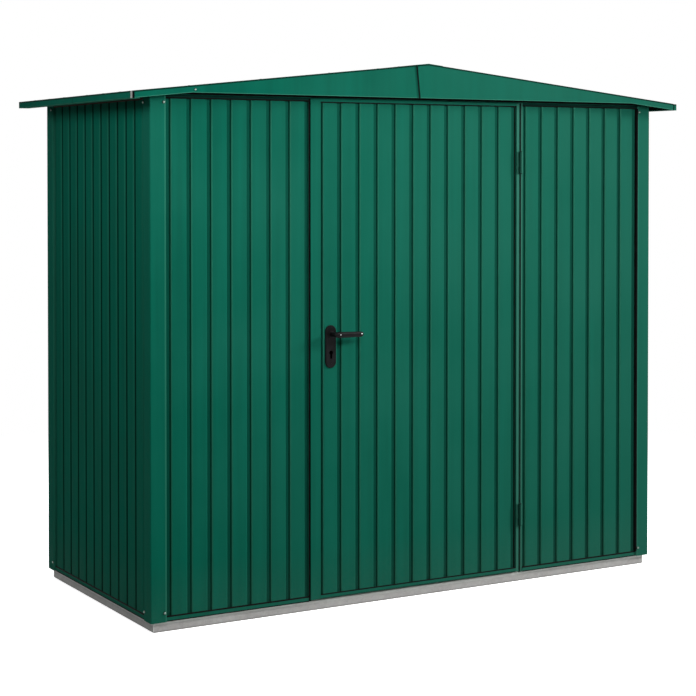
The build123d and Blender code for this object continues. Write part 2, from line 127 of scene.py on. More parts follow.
def finishMaterial(tree, colour, rough, relief, bumpSettings, shine):
    # bumpSettings: strength and height of the relief. shine: the shader's other settings.
    strength, distance = bumpSettings
    bump = addNode(tree, "ShaderNodeBump", {"Height": relief, "Strength": strength,
                   "Distance": distance * millimetre})
    shader = addNode(tree, "ShaderNodeBsdfPrincipled", {"Base Color": colour, "Roughness": rough,
                     "Normal": (bump, 0), **shine})
    addNode(tree, "ShaderNodeOutputMaterial", {"Surface": (shader, 0)})


# Coil-coated steel: a polyester coat rolled on at the mill, then folded. It is a deep even green with a
# low satin gloss, a fine orange peel, and a thin grey-brown backing coat on the reverse side.
coilCoat = {
    "greens": ((0.32, "#045746"), (0.5, "#045e4c"), (0.68, "#056553")),
    "railShade": ((0.32, "#0b3029"), (0.68, "#12372f")),   # darker greens on the top rails: painted shade under the roof's overhang
    "reverse": ((0.35, "#5f5a51"), (0.65, "#6f6a60")),
    "cloudSize": 420.0,         # slow change of shade along a coil
    "cloudNoise": (3.0, 0.55),
    "streakSize": 36.0,         # across the rolling streaks
    "streakStretch": 24,
    "paintedSheen": "#225f4f",         # painted sheen, a paler green
    "sheenLean": (0.31, 0, 0.1),  # it grows towards the right-hand end, where the light comes from, and towards the roof
    "sheenEnd": 1.2,
    "sheenMost": 0.75,
    # painted shade in the grooves and beside the gable sheets' lap
    "paintedShade": "#02352a",
    "shadeLine": "#02241b",      # painted shade: a dark line under the roof's drip edge and at the foot of the ribs' flanks
    "ribShine": "#3f957b",      # painted highlight along the upper edges of the ribs' flanks
    "foldShine": "#4f9a82",     # painted highlight along the lower folds and the posts' flange edges
    "rawEnd": "#7c7f7c",        # zinc shows where a trim's end was cut and folded
    "slot": "#0a0b0b",          # black painted in the slot beside it, where shade falls: painted shade
    "hingeSideHighlight": "#326d5d",    # painted highlight on the narrow uprights beside the hinges
    # painted shade round the hinges' pins
    "pinShade": "#04150f",
    "dust": "#5b6f62",
    "dustRise": (40.0, 260.0),  # splashed dust, thickest just above the base
    "dustMost": 0.16,
    "splash": (90.0, 5.0),      # scale per metre, detail
    "shadeRange": (0.3, 0.7),   # shades that the roughness follows
    "roughness": (0.63, 0.74),
    "specular": 0.015,
    "peelSize": 3.0,            # between the waves of the coat
    "bump": (0.12, 0.4),
    "reverseFacing": -0.05,
}


# The folds of the ribbed sheets, behind the ribs' outer face, which lies sunk behind the posts' face.
ribLines = {
    "wallSunk": 7.8,
    "leafSunk": 1.5,
    "crestEdge": 0.8,
    "grooveDepth": 6.0,
    "paintedShade": {left: 0.3, front: 0.75, right: 0.3},  # painted shade in the grooves, by the side the highlighted flanks face
    "highlightDepth": 4.4,
    "softness": 0.4,
    "paintedHighlight": {left: 0.42, front: 0.24, right: 0.3},
    "footShade": 0.66,
    "flankTurn": (0.3, 0.6),
}


def ribPaintedLight(tree, place, colour, outward, crest, near):
    # painted shade in the grooves behind the ribs' outer face, and on the flanks that face near a painted
    # highlight along the upper edge over painted shade at the foot
    look, lines = coilCoat, ribLines
    depth = vectorMaths(tree, "DOT_PRODUCT", place, outward)
    top, bottom = ((crest - lines[name]) * millimetre for name in ("crestEdge", "grooveDepth"))
    grooveShade = between(tree, depth, top, bottom, 0.0, lines["paintedShade"][near])
    colour = tinted(tree, grooveShade, colour, look["paintedShade"])
    turn = vectorMaths(tree, "DOT_PRODUCT", (place[0], "Normal"), near)
    flank = between(tree, turn, *lines["flankTurn"])
    edge, soft = (crest - lines["highlightDepth"]) * millimetre, lines["softness"] * millimetre
    upper = between(tree, depth, edge - soft, edge + soft)
    shine = maths(tree, "MULTIPLY", maths(tree, "MULTIPLY", upper, lines["paintedHighlight"][near]), flank)
    colour = tinted(tree, shine, colour, look["ribShine"])
    lower = maths(tree, "SUBTRACT", 1.0, upper)
    foot = maths(tree, "MULTIPLY", maths(tree, "MULTIPLY", lower, lines["footShade"]), flank)
    return tinted(tree, foot, colour, look["shadeLine"])


# The lines on the eave trims, gable sheets and verges.
trimLines = {
    "ridgeHeight": 2160.93,
    "fall": 0.10599,             # tangent of the roof's pitch
    "softness": 1.2,
    "dripDepth": 5.8,            # below the roof's outer plane
    "dripShade": (0.08, 0.9),     # painted shade over the face, and a painted dark line at the drip edge
    "faceTilt": 0.9,             # the roof's own surface is turned up more than this
    "fasciaDepth": 24.2,         # start of the painted highlight along a sloping lower fold
    "gableFoot": 2026.0,         # top of the painted highlight along the gable's straight lower fold
    "paintedHighlight": 0.4,
    "kneePlace": 1040.0,
    "endPlace": 598.6,           # past this the end tabs of the eave trims start
    "slotPlace": 1279.0,
    "bareStart": (1284.2, 1285.2),
    "gableFace": 597.0,
    "lapSlope": 0.1061,          # the gable sheets' lap leans, and is lapPlace from the middle at lapTop
    "lapTop": 2155.4,
    "lapPlace": 52.0,
    "lapShadow": (12.5, 16.5),     # painted shadow beside the lap
    "lapMost": 0.5,
}


def trimWearAndLight(tree, place, colour):
    # painted shade as a dark line under the roof's edge and a little over the face, a painted highlight along
    # each lower fold, a bare end with painted shade in the slot beside it at the left eave's ends, and a
    # painted shadow beside the lap of the gable sheets
    look, lines = coilCoat, trimLines
    x, y, z = splitVector(tree, place)
    reach = maths(tree, "ABSOLUTE", x)
    roofLine = maths(tree, "MULTIPLY_ADD", reach, lines["fall"], z)
    soft = lines["softness"] * millimetre
    dripEdge, fascia = ((lines["ridgeHeight"] - lines[name]) * millimetre
                        for name in ("dripDepth", "fasciaDepth"))
    # painted shade: a dark line under the roof's edge, and a little over the whole face
    drip = between(tree, roofLine, dripEdge - soft, dripEdge, *lines["dripShade"])
    turnedUp = splitVector(tree, (place[0], "Normal"))[2]
    upright = maths(tree, "LESS_THAN", turnedUp, lines["faceTilt"])
    colour = tinted(tree, maths(tree, "MULTIPLY", drip, upright), colour, look["shadeLine"])
    sloping = between(tree, roofLine, fascia - soft, fascia, lines["paintedHighlight"], 0.0)
    foot = lines["gableFoot"] * millimetre
    straight = between(tree, z, foot - soft, foot, lines["paintedHighlight"], 0.0)
    outer = maths(tree, "GREATER_THAN", reach, lines["kneePlace"] * millimetre)
    inner = maths(tree, "SUBTRACT", 1.0, outer)
    sloping, straight = maths(tree, "MULTIPLY", sloping, outer), maths(tree, "MULTIPLY", straight, inner)
    colour = tinted(tree, maths(tree, "MAXIMUM", sloping, straight), colour, look["foldShine"])
    end = maths(tree, "GREATER_THAN", maths(tree, "ABSOLUTE", y), lines["endPlace"] * millimetre)
    tab = maths(tree, "LESS_THAN", x, -lines["slotPlace"] * millimetre)
    bare = between(tree, reach, *(edge * millimetre for edge in lines["bareStart"]))
    # painted shade: black in the slot next to the bare end
    cut = tinted(tree, bare, linear(look["slot"]), look["rawEnd"])
    colour = tinted(tree, maths(tree, "MULTIPLY", end, tab), colour, cut)
    # x times y over the face's y runs the same way round at the front and at the back
    across = maths(tree, "MULTIPLY", x, y)
    offset = (lines["lapTop"] * lines["lapSlope"] - lines["lapPlace"]) * millimetre
    beside = maths(tree, "MULTIPLY_ADD", across, 1 / (lines["gableFace"] * millimetre), offset)
    beside = maths(tree, "MULTIPLY_ADD", z, -lines["lapSlope"], beside)
    lapShade = between(tree, beside, *(edge * millimetre for edge in lines["lapShadow"]), lines["lapMost"], 0.0)
    behind = maths(tree, "GREATER_THAN", beside, 0.0)
    return tinted(tree, maths(tree, "MULTIPLY", lapShade, behind), colour, look["paintedShade"])


# The inner edges of the corner posts' flanges.
postLines = {"flangeEdge": (1131.5, 476.2), "softness": 0.4, "paintedHighlight": 0.16}


def postEdgeHighlight(tree, place, colour):
    # a painted highlight along the inner edges of the posts' flanges
    lines = postLines
    edges = [edge * millimetre for edge in lines["flangeEdge"]]
    past = vectorMaths(tree, "SUBTRACT", vectorMaths(tree, "ABSOLUTE", place), (*edges, 0))
    nearer = maths(tree, "MINIMUM", *splitVector(tree, past)[:2])
    soft = lines["softness"] * millimetre
    edge = between(tree, nearer, -soft, soft, lines["paintedHighlight"], 0.0)
    return tinted(tree, edge, colour, coilCoat["foldShine"])


# The uprights beside the hinges, and the hinges' pins.
hingeLines = {
    "gapSide": (475.5, 476.5),   # the painted highlight starts here
    "sideHighlight": 0.85,
    "pin": (489.5, -551.0),
    "pinShadeReach": (7.2, 8.5),
    "pinShadeMost": 0.8,
}


def hingeHighlightAndShade(tree, place, colour):
    # a painted highlight on the uprights right of the hinges' gap, and painted shade round the pins
    look, lines = coilCoat, hingeLines
    across = splitVector(tree, place)[0]
    beside = between(tree, across, *(edge * millimetre for edge in lines["gapSide"]), 0.0, lines["sideHighlight"])
    colour = tinted(tree, beside, colour, look["hingeSideHighlight"])
    away = [-edge * millimetre for edge in lines["pin"]]
    fromPin = vectorMaths(tree, "LENGTH", vectorMaths(tree, "MULTIPLY_ADD", place, (1, 1, 0), (*away, 0)))
    reach = (edge * millimetre for edge in lines["pinShadeReach"])
    return tinted(tree, between(tree, fromPin, *reach, lines["pinShadeMost"], 0.0), colour, look["pinShade"])


def coilCoatedSteel(name, outward=None, core=None, streakAxis=2, sheenStart=-0.05, shadeDarkened=False, crest=None,
                    near=None, wearAndLight=None):
    # outward: the coated side's direction. core: an upright line (x, y) that the coated side faces away
    # from. sheenStart: where the painted sheen starts, None for none. crest: where the outer face of the ribs
    # lies along outward. near: see ribPaintedLight. wearAndLight: a function that adds its own wear, painted
    # highlight and painted shade.
    look = coilCoat
    material, tree, place = newMaterial(name)
    cloud = noise(tree, place, 1000 / look["cloudSize"], *look["cloudNoise"])
    stretch = [1000 / look["streakSize"]] * 3
    stretch[streakAxis] /= look["streakStretch"]
    along = addNode(tree, "ShaderNodeMapping", {"Vector": place, "Scale": stretch})
    streak = noise(tree, (along, 0), 1.0)
    shade = maths(tree, "MULTIPLY", maths(tree, "ADD", cloud, streak), 0.5)
    colour = ramp(tree, shade, look["railShade" if shadeDarkened else "greens"])
    # painted sheen: paler towards the lit right-hand end and the roof
    if sheenStart is not None:
        lean = maths(tree, "ADD", vectorMaths(tree, "DOT_PRODUCT", place, look["sheenLean"]), cloud)
        sheen = between(tree, lean, sheenStart, look["sheenEnd"], 0.0, look["sheenMost"])
        colour = tinted(tree, sheen, colour, look["paintedSheen"])
    if crest is not None:
        colour = ribPaintedLight(tree, place, colour, outward, crest, near)
    if wearAndLight:
        colour = wearAndLight(tree, place, colour)
    rise = (edge * millimetre for edge in look["dustRise"])
    fall = between(tree, splitVector(tree, place)[2], *rise, look["dustMost"], 0.0)
    splash = noise(tree, place, *look["splash"])
    colour = tinted(tree, maths(tree, "MULTIPLY", fall, splash), colour, look["dust"])
    if outward or core:
        facing = outward
        if core:
            flat = vectorMaths(tree, "MULTIPLY", place, (1, 1, 0))
            middle = [edge * millimetre for edge in core]
            facing = vectorMaths(tree, "NORMALIZE", vectorMaths(tree, "SUBTRACT", flat, (*middle, 0)))
        side = vectorMaths(tree, "DOT_PRODUCT", (place[0], "Normal"), facing)
        inward = maths(tree, "LESS_THAN", side, look["reverseFacing"])
        colour = tinted(tree, inward, colour, ramp(tree, cloud, look["reverse"]))
    peel = noise(tree, place, 1000 / look["peelSize"])
    rough = between(tree, shade, *look["shadeRange"], *look["roughness"])
    finishMaterial(tree, colour, rough, peel, look["bump"], {"Specular IOR Level": look["specular"]})
    return material


# Hot-dip galvanised steel, weathered: zinc that has gone an even warm grey. Only a faint spangle is left,
# with a painted highlight along the upper edge and the corners, darker towards the ground, and painted shade
# on the left-facing side.
galvanised = {
    "tones": ((0.3, "#92908e"), (0.5, "#9c9b99"), (0.7, "#a6a6a4")),
    "spangle": 11.0,
    "grit": 2.2,
    "gritPart": 0.7,
    "cloud": (6.0, 4.0),          # scale per metre, detail
    "cloudPart": 0.5,
    "paintedHighlight": "#c6c9c5",
    "highlightBand": (26.0, 33.0),   # painted highlight along the upper edge, over the shadow of the walls' overhang
    "webPlace": (1173.0, 523.0),  # outer faces of the base frame
    "cornerWidth": 3.5,
    "cornerSoftness": 2.0,
    # darker towards the ground
    "footTone": "#646260",
    "footToneHeight": 8.0,
    "footToneMost": 0.85,
    "shadedSide": "#3c403d",           # painted shade on the left-facing side
    "shadedSideMost": 0.45,
    "shadedSideTurn": (-0.9, -0.6),
    "roughness": (0.56, 0.72),
    "metallic": 0.35,
    "bump": (0.1, 0.4),
}


def galvanisedSteel(name):
    look = galvanised
    material, tree, place = newMaterial(name)
    cells = addNode(tree, "ShaderNodeTexVoronoi", {"Vector": place, "Scale": 1000 / look["spangle"],
                    "Randomness": 1.0})
    tone = addNode(tree, "ShaderNodeSeparateColor", {0: (cells, "Color")})
    mixed = mix(tree, look["gritPart"], (tone, 0), noise(tree, place, 1000 / look["grit"]))
    blend = mix(tree, look["cloudPart"], mixed, noise(tree, place, *look["cloud"]))
    colour = ramp(tree, blend, look["tones"])
    height = splitVector(tree, place)[2]
    upper = between(tree, height, *(edge * millimetre for edge in look["highlightBand"]))
    limit = [(edge - look["cornerWidth"]) * millimetre for edge in look["webPlace"]]
    past = vectorMaths(tree, "SUBTRACT", vectorMaths(tree, "ABSOLUTE", place), (*limit, 0))
    corner = maths(tree, "MINIMUM", *splitVector(tree, past)[:2])
    corner = between(tree, corner, 0.0, look["cornerSoftness"] * millimetre)
    # painted highlight along the upper edge and the corners
    colour = tinted(tree, maths(tree, "MAXIMUM", upper, corner), colour, look["paintedHighlight"])
    low = between(tree, height, 0.0, look["footToneHeight"] * millimetre, look["footToneMost"], 0.0)
    colour = tinted(tree, low, colour, look["footTone"])
    turn = splitVector(tree, (place[0], "Normal"))[0]
    shaded = between(tree, turn, *look["shadedSideTurn"], look["shadedSideMost"], 0.0)
    colour = tinted(tree, shaded, colour, look["shadedSide"])
    rough = between(tree, (tone, 1), 0.0, 1.0, *look["roughness"])
    finishMaterial(tree, colour, rough, mixed, look["bump"], {"Metallic": look["metallic"]})
    return material


# Glass-filled nylon, moulded: satin black with a fine spark-eroded grain and greyer rubbed places.
nylon = {
    "tones": ((0.4, "#09090a"), (0.75, "#121214")),
    "cloud": (30.0, 3.0),
    "grit": 0.9,
    "roughness": (0.28, 0.48),
    "bump": (0.2, 0.2),
    "shine": {"Specular IOR Level": 0.09},
}
# Extruded rubber of the seals and washers: carbon-black EPDM, dull black with a faint bloom.
rubber = {
    "tones": ((0.4, "#0a0b0b"), (0.7, "#151716")),
    "cloud": (24.0, 4.0),
    "grit": 1.6,
    "roughness": (0.65, 0.85),
    "bump": (0.15, 0.2),
    "shine": {"Specular IOR Level": 0.05},
}
# Butyl tape under the eaves: sticky grey-brown, and it holds the dust that falls on it.
butyl = {**rubber, "tones": ((0.4, "#3a322c"), (0.7, "#4a423a")), "grit": 2.4, "roughness": (0.8, 1.0)}
# Zinc-plated screw heads, turned and rolled: tinted green as a painted reflection of the walls round them,
# with darker places that the driver has scuffed.
plated = {
    "tones": ((0.35, "#5f776d"), (0.6, "#809b90")),
    "cloud": (1000 / 1.2, 3.0),
    "roughness": (0.35, 0.65),
    "bump": (0.1, 0.1),
    "shine": {"Metallic": 0.6},
}
# Polished zinc studs in the levers, set where the levers' highlights fall: a painted highlight, a small
# bright spark.
polished = {**plated, "tones": ((0.35, "#b4bfbb"), (0.6, "#e4ece9")), "roughness": (0.2, 0.5)}


def grainyMaterial(name, look):
    # two tones in clouds, with the roughness, over a fine relief; cloud: scale per metre, detail
    material, tree, place = newMaterial(name)
    cloud = noise(tree, place, *look["cloud"])
    relief = noise(tree, place, 1000 / look["grit"]) if "grit" in look else cloud
    rough = between(tree, cloud, 0.0, 1.0, *look["roughness"])
    finishMaterial(tree, ramp(tree, cloud, look["tones"]), rough, relief, look["bump"], look["shine"])
    return material


def dress(material, *nodes):
    for name in nodes:
        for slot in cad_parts[name].material_slots:
            slot.link = "DATA"
            slot.material = material


frontCrest, sideCrest = frontFace - ribLines["wallSunk"], sideFace - ribLines["wallSunk"]
leafCrest = frontFace - ribLines["leafSunk"]
# The walls' copies differ in the side they face and in their painted shade, highlight and sheen; the left
# wall, on the shaded side, gets no painted sheen.
dress(coilCoatedSteel("coilCoatedSteelFront", front, crest=frontCrest, near=left),
      "front_wall_left", "front_wall_right", "gable_panel_front")
dress(coilCoatedSteel("coilCoatedSteelLeaf", front, crest=leafCrest, near=left), "door_panel")
dress(coilCoatedSteel("coilCoatedSteelBack", back, crest=frontCrest, near=right),
      "back_wall_1", "back_wall_2", "back_wall_3", "gable_panel_back")
dress(coilCoatedSteel("coilCoatedSteelLeft", left, sheenStart=None, crest=sideCrest, near=front), "left_wall")
dress(coilCoatedSteel("coilCoatedSteelRight", right, crest=sideCrest, near=front), "right_wall")
dress(coilCoatedSteel("coilCoatedSteelRoof", (0, 0, 1), streakAxis=0), "roof_left", "roof_right", "ridge_cap")
postCore = (1166.0, 516.0)  # the hollow middle of a corner post
for end, alongY in (("front", -1), ("back", 1)):
    for hand, alongX in (("left", -1), ("right", 1)):
        name = "coilCoatedSteelPost" + end.capitalize() + hand.capitalize()
        core = (alongX * postCore[0], alongY * postCore[1])
        dress(coilCoatedSteel(name, core=core, wearAndLight=postEdgeHighlight), "post_" + end + "_" + hand)
plainCoat = coilCoatedSteel("coilCoatedSteelPlain")
dress(plainCoat, "front_bottom_rails", "back_bottom_rail", "side_bottom_rails", "door_header",
      "door_stile_latch", "door_top_rail", "door_bottom_rail", "ridge_beam")
dress(coilCoatedSteel("coilCoatedSteelHingeSide", wearAndLight=hingeHighlightAndShade),
      "door_jambs", "door_stile_hinge", "frame_hinges", "door_hinges")
dress(coilCoatedSteel("coilCoatedSteelTrim", sheenStart=0.2, wearAndLight=trimWearAndLight),
      "eave_trims", "front_verge_left", "front_verge_right", "back_verge_left", "back_verge_right")
# The top rails are painted darker: painted shade under the roof's overhang.
dress(coilCoatedSteel("shadeDarkenedRails", sheenStart=None, shadeDarkened=True),
      "front_top_rails", "back_top_rail", "side_top_rails")
dress(galvanisedSteel("hotDipGalvanisedSteel"), "base_front", "base_back", "base_left", "base_right")
black = grainyMaterial("mouldedBlackNylon", nylon)
dress(black, "door_plates", "outer_lever", "inner_lever", "lock_case")
rubberBlack = grainyMaterial("extrudedBlackRubber", rubber)
butylGrey = grainyMaterial("dustyButylTape", butyl)
platedHead = grainyMaterial("zincPlatedSteel", plated)
highlightStud = grainyMaterial("highlightZincStuds", polished)
print("materials on", len(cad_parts), "nodes")


# New pieces. Each is shaped with bmesh in its own place, so its object stays at the origin.
crispFold = 35   # degrees; flatter folds are shaded smooth
beadSides = 10

def finishPiece(name, shape, body, slot, *materials):
    for face in shape.faces:
        face.smooth = True
    mesh = bpy.data.meshes.new(name)
    shape.to_mesh(mesh)
    shape.free()
    mesh.set_sharp_from_angle(angle=math.radians(crispFold))
    for material in materials:
        mesh.materials.append(material)
    piece = bpy.data.objects.new(name, mesh)
    scene.collection.objects.link(piece)
    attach(piece, body)
    return piece


def turned(shape, profile, material=0, steps=20):
    # spins (radius, height) points round the Z axis
    known = set(shape.faces)
    points = [shape.verts.new((radius * millimetre, 0, height * millimetre)) for radius, height in profile]
    edges = [shape.edges.new(pair) for pair in zip(points, points[1:])]
    bmesh.ops.spin(shape, geom=points + edges, cent=(0, 0, 0), axis=(0, 0, 1), dvec=(0, 0, 0),
                   angle=2 * math.pi, steps=steps, use_merge=True, use_duplicate=False)
    bmesh.ops.remove_doubles(shape, verts=shape.verts[:], dist=tiny)
    for face in set(shape.faces) - known:
        face.material_index = material


def turnedHead(profile, steps):
    shape = bmesh.new()
    turned(shape, profile, steps=steps)
    return shape


def setOut(name, template, places, body, slot, *materials):
    # copies of one small shape; places: (centre in millimetres, outward direction), the shape's foot lying
    # on the centre
    bmesh.ops.recalc_face_normals(template, faces=template.faces[:])
    single = bpy.data.meshes.new(name + "Single")
    template.to_mesh(single)
    template.free()
    shape = bmesh.new()
    for centre, outward in places:
        known = len(shape.verts)
        shape.from_mesh(single)
        shape.verts.ensure_lookup_table()
        move = Matrix.Translation(Vector(centre) * millimetre)
        turn = Vector(outward).to_track_quat("Z", "Y").to_matrix().to_4x4()
        bmesh.ops.transform(shape, matrix=move @ turn, verts=shape.verts[known:])
    bpy.data.meshes.remove(single)
    finishPiece(name, shape, body, slot, *materials)


def bead(shape, start, end, outward, depth, height):
    # an oval rubber bead from start to end; depth runs along outward
    start, end, outward = Vector(start) * millimetre, Vector(end) * millimetre, Vector(outward)
    along = (end - start).normalized()
    across = along.cross(outward)
    turn = Matrix((outward * depth * millimetre / 2, across * height * millimetre / 2, along)).transposed()
    ring = bmesh.ops.create_circle(shape, cap_ends=True, segments=beadSides, radius=1.0,
                                   matrix=Matrix.Translation(start) @ turn.to_4x4())["verts"]
    grown = bmesh.ops.extrude_face_region(shape, geom=ring[0].link_faces[:], use_keep_orig=True)
    moved = [item for item in grown["geom"] if isinstance(item, bmesh.types.BMVert)]
    bmesh.ops.translate(shape, vec=end - start, verts=moved)


def roundEdges(shape, edges, radius):
    bmesh.ops.bevel(shape, geom=edges, offset=radius * millimetre, affect="EDGES", segments=2, profile=0.5,
                    material=-1)


# Self-drilling screws with a hexagon head on a rubber-backed washer.
screwSet = {
    "rubber": ((0, 0), (6.1, 0), (6.4, 0.4), (6.3, 1.0), (5.9, 1.3), (0, 1.3)),
    "washer": ((0, 1.2), (4.6, 1.2), (4.6, 1.6), (3.9, 2.2), (0, 2.2)),
    "hexRadius": 3.9,     # over the corners
    "hexFoot": 2.15,
    "hexHeight": 2.6,
    "edge": 0.5,
    "fromCorner": 57.0,   # from the post's outer edge
    "heights": (75.0, 1988.0),
}


def hexScrew():
    look = screwSet
    shape = bmesh.new()
    turned(shape, look["rubber"], material=1, steps=16)
    turned(shape, look["washer"], steps=16)
    radius, height = look["hexRadius"] * millimetre, look["hexHeight"] * millimetre
    centre = Matrix.Translation((0, 0, look["hexFoot"] * millimetre + height / 2))
    made = bmesh.ops.create_cone(shape, cap_ends=True, segments=6, radius1=radius, radius2=radius,
                                 depth=height, matrix=centre)
    upper = max(vert.co.z for vert in made["verts"])
    rim = [edge for edge in {e for vert in made["verts"] for e in vert.link_edges}
           if all(vert.co.z > upper - tiny for vert in edge.verts)]
    roundEdges(shape, rim, look["edge"])
    return shape


def postScrews():
    look = screwSet
    places = []
    for z in look["heights"]:
        for side in (-1, 1):
            for end in (-1, 1):
                across, along = side * (sideFace - look["fromCorner"]), end * (frontFace - look["fromCorner"])
                places.append(((across, end * frontFace, z), (0, end, 0)))
                places.append(((side * sideFace, along, z), (side, 0, 0)))
    setOut("postScrews", hexScrew(), places, "shed", "galvanised_steel", platedHead, rubberBlack)


# Low rivets through the ridge cap and the flanges of the eaves and gables, over the roof's ribs.
roofRivetSet = {
    "head": ((0, -0.2), (4.6, -0.2), (4.5, 0.4), (3.2, 0.8), (1.4, 0.9), (0, 0.9)),
    "ribs": (-454.0, -288.9, -123.8, 123.8, 288.9, 454.0),
    "capPlace": 52.0,
    "capLift": 1.2,       # the cap lies on the roof's plane
    "eavePlace": 1272.0,
    "gablePlace": 583.0,
    "alongGable": (150.0, 450.0, 750.0, 1050.0),
}


def onSlope(side, x, y, lift=0.0):
    # a place on the roof's outer plane, and the way out of it
    slope = trimLines["fall"]
    height = trimLines["ridgeHeight"] - x * slope + lift
    return (side * x, y, height), Vector((side * slope, 0, 1)).normalized()


def roofRivets():
    look = roofRivetSet
    sides = (-1, 1)
    places = [onSlope(side, look["capPlace"], y, look["capLift"]) for side in sides for y in look["ribs"]]
    places += [onSlope(side, look["eavePlace"], y) for side in sides for y in look["ribs"]]
    places += [onSlope(side, x, end * look["gablePlace"]) for side in sides for end in (-1, 1)
               for x in look["alongGable"]]
    setOut("roofRivets", turnedHead(look["head"], 14), places, "shed", "green_steel", plainCoat)


# A low rivet in each of the two gable sheets that lie behind the other's lap.
gableRivetSet = {
    "washer": ((0, 0), (5.0, 0), (5.0, 0.5), (0, 0.5)),
    "head": ((0, 0.4), (3.9, 0.4), (3.8, 1.3), (2.7, 2.3), (1.2, 2.8), (0, 2.9)),
    "place": (1029.0, 596.0, 2034.5),
}


def gableRivets():
    look = gableRivetSet
    shape = bmesh.new()
    turned(shape, look["washer"], material=1, steps=16)
    turned(shape, look["head"], steps=16)
    x, y, z = look["place"]
    places = [((end * x, end * y, z), (0, end, 0)) for end in (-1, 1)]
    setOut("gableRivets", shape, places, "shed", "galvanised_steel", platedHead, rubberBlack)


postScrews()
roofRivets()
gableRivets()
print("screws and rivets")


# Edge beads: black rubber on the rails' lips and between the base frame and the rails, dark lines of painted
# shade; butyl tape tops the side walls. Levels are heights, and depths lie behind the posts' outer face.
beadSet = {
    "lipDepths": (5.7, 7.8),
    "bottom": (55.2, 62.0),
    "top": (2002.0, 2007.8),
    "sideTop": (1997.5, 2008.2),   # butyl tape along the side walls
    "foot": (39.9, 43.6),          # black bead between the base frame and the rails: a painted shade line
    "footDepths": (4.4, 6.1),
    "frontRuns": ((-1124.0, -514.0), (514.0, 1124.0)),
    "backRun": (-1124.0, 1124.0),
    "sideRun": (-474.0, 474.0),
}


def wallBead(shape, outward, run, levels, depths):
    x, y = outward[:2]
    face = (frontFace if y else sideFace) - sum(depths) / 2
    start, end = ((x * face + abs(y) * place, y * face + abs(x) * place, sum(levels) / 2) for place in run)
    bead(shape, start, end, outward, depths[1] - depths[0], levels[1] - levels[0])


def wallShadeBeads():
    look = beadSet
    frontShape, sideShape, backShape, tapeShape = (bmesh.new() for _ in range(4))
    lip, foot = look["lipDepths"], look["footDepths"]
    for levels, depths in (("bottom", lip), ("top", lip), ("foot", foot)):
        for run in look["frontRuns"]:
            wallBead(frontShape, front, run, look[levels], depths)
        wallBead(backShape, back, look["backRun"], look[levels], depths)
    for levels, depths, shape in (("bottom", lip, sideShape), ("sideTop", lip, tapeShape),
                                  ("foot", foot, sideShape)):
        for outward in (left, right):
            wallBead(shape, outward, look["sideRun"], look[levels], depths)
    finishPiece("frontWallShadeBeads", frontShape, "shed", "black_handle", rubberBlack)
    finishPiece("sideWallShadeBeads", sideShape, "shed", "black_handle", rubberBlack)
    finishPiece("sideWallTapes", tapeShape, "shed", "black_handle", butylGrey)
    finishPiece("backWallShadeBeads", backShape, "shed", "black_handle", rubberBlack)


def rubberStrip(shape, lowest, highest, radius):
    # a flat strip between two corners, its long edges rounded
    low, high = Vector(lowest) * millimetre, Vector(highest) * millimetre
    turn = Matrix.Translation((low + high) / 2) @ Matrix.Diagonal((*(high - low), 1.0))
    made = bmesh.ops.create_cube(shape, size=1.0, matrix=turn)
    longest = max(range(3), key=lambda axis: (high - low)[axis])
    edges = [edge for edge in {e for vert in made["verts"] for e in vert.link_edges}
             if abs(edge.verts[0].co[longest] - edge.verts[1].co[longest]) > 0.001]
    roundEdges(shape, edges, radius)


# Black rubber strips round the door, beside the right post and under the gable sheet, where shade falls:
# painted shade. By piece: two places across, two heights, two depths behind the posts' face, radius.
shadeStripSet = {
    "leafShadeStrips": {
        "bottom": (-464.0, 476.5, 59.4, 64.8, 0.1, 1.5, 0.5),
        "top": (-464.0, 476.5, 1998.2, 2003.6, 0.1, 1.5, 0.5),
        "stile": (470.0, 472.6, 62.0, 2001.0, 5.6, 10.6, 0.8),
    },
    "doorwayShadeStrips": {
        "latchSide": (-514.0, -502.6, 42.0, 2015.5, 7.45, 8.0, 0.2),
        "hingeSide": (500.0, 504.6, 42.0, 2015.5, 6.6, 8.0, 0.2),
        "rightPost": (1121.4, 1126.8, 61.0, 2003.0, -0.3, 17.2, 0.8),
        "overDoor": (-514.0, 514.0, 2018.2, 2028.0, 5.6, 8.0, 0.8),   # black foam under the gable sheet: painted shade
        "overLeftWall": (-1124.0, -514.5, 2018.2, 2028.0, 4.2, 6.0, 0.6),
        "overRightWall": (514.5, 1124.0, 2018.2, 2028.0, 4.2, 6.0, 0.6),
    },
}


def doorShadeStrips():
    for name, body in (("leafShadeStrips", "door"), ("doorwayShadeStrips", "shed")):
        shape = bmesh.new()
        for start, end, low, high, near, far, radius in shadeStripSet[name].values():
            rubberStrip(shape, (start, near - frontFace, low), (end, far - frontFace, high), radius)
        finishPiece(name, shape, body, "black_handle", rubberBlack)


# Black foam behind the slot between each eave trim's end tab and the gable sheet: painted shade.
plugSet = {"across": (1274.1, 1280.4), "along": (590.0, 593.5), "heights": (1998.4, 2021.5), "radius": 0.8}


def cornerShadePlugs():
    look = plugSet
    shape = bmesh.new()
    for side in (-1, 1):
        for end in (-1, 1):
            corners = zip(sorted(side * x for x in look["across"]), sorted(end * y for y in look["along"]),
                          look["heights"])
            rubberStrip(shape, *corners, look["radius"])
    finishPiece("cornerShadePlugs", shape, "shed", "black_handle", rubberBlack)


# Black sealant run down the step where one gable sheet laps the other: a painted shade line.
seamSet = {"top": (54.3, 597.6, 2153.5), "foot": (40.3, 597.6, 2024.2), "depth": 2.4, "width": 4.6}


def gableShadeSeams():
    look = seamSet
    shape = bmesh.new()
    for end in (-1, 1):
        top, foot = ((end * x, end * y, z) for x, y, z in (look["top"], look["foot"]))
        bead(shape, top, foot, (0, end, 0), look["depth"], look["width"])
    finishPiece("gableShadeSeams", shape, "shed", "black_handle", rubberBlack)


wallShadeBeads()
doorShadeStrips()
cornerShadePlugs()
gableShadeSeams()
print("rubber beads, seals and plugs")


